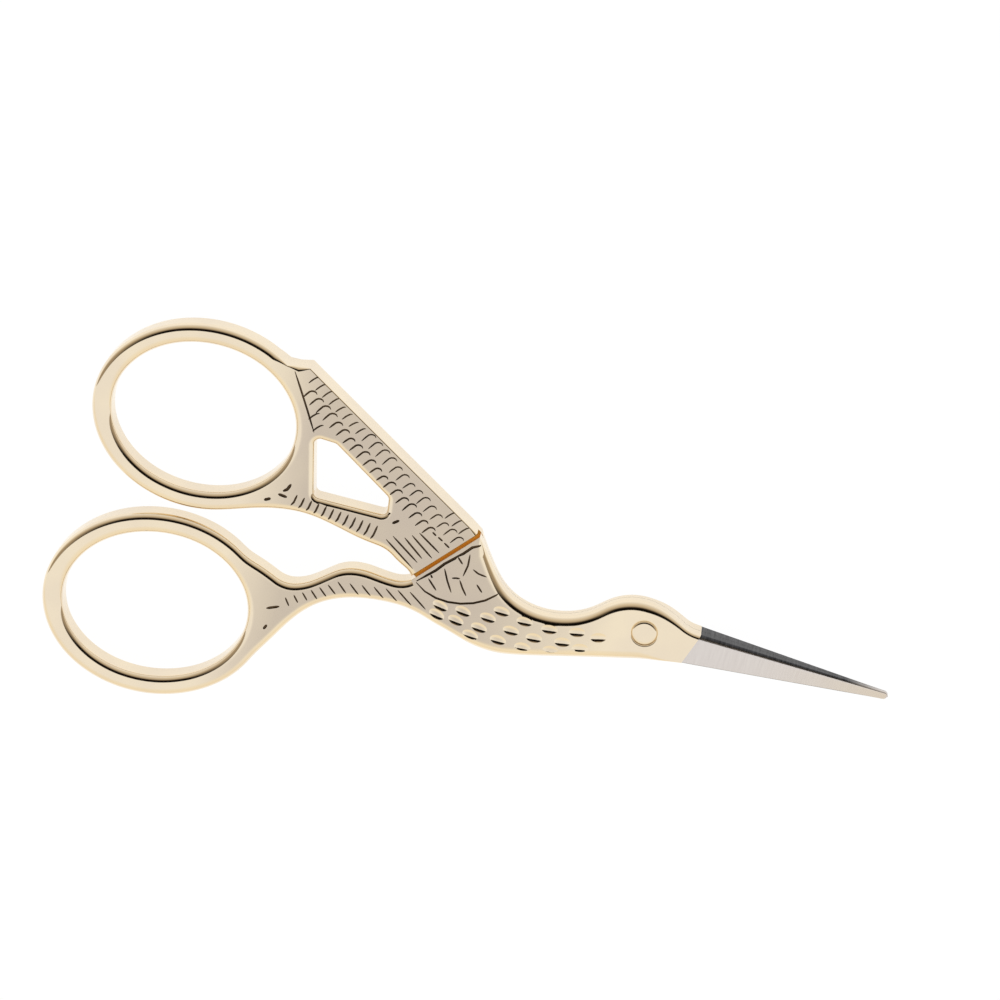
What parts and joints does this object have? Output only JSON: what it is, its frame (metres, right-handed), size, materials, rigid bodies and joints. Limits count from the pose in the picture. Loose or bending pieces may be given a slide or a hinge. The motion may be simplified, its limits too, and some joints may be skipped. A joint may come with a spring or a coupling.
{
  "type": "stork embroidery scissors",
  "caption": "Small gilt scissors shaped like a stork, with a long slim beak for blades, for snipping embroidery threads.",
  "frame": {"origin": "bottom centre of the closed scissors' box, on the face they lie on", "axes": "+X towards the blade tips, +Y towards the upper finger ring, +Z out of the front face, the one with the bird's eye"},
  "size_m": [0.1162, 0.055, 0.004],
  "materials": {
    "gold_plating": "pale gold plating on polished steel",
    "ground_steel": "bare steel, ground flat along the edge",
    "screw_plating": "pale gold plating on polished steel"
  },
  "bodies": {
    "front_half": {"front_handle": "gold_plating", "front_blade": "ground_steel", "pivot_screw": "screw_plating"},
    "back_half": {"back_handle": "gold_plating", "back_blade": "ground_steel"}
  },
  "joints": [
    {"name": "blade_pivot", "type": "hinge", "parent": "front_half", "child": "back_half", "pos_m": [0.02365, 0.00018, 0.002], "axis": [0, 0, -1], "range_deg": [0, 150]}
  ]
}
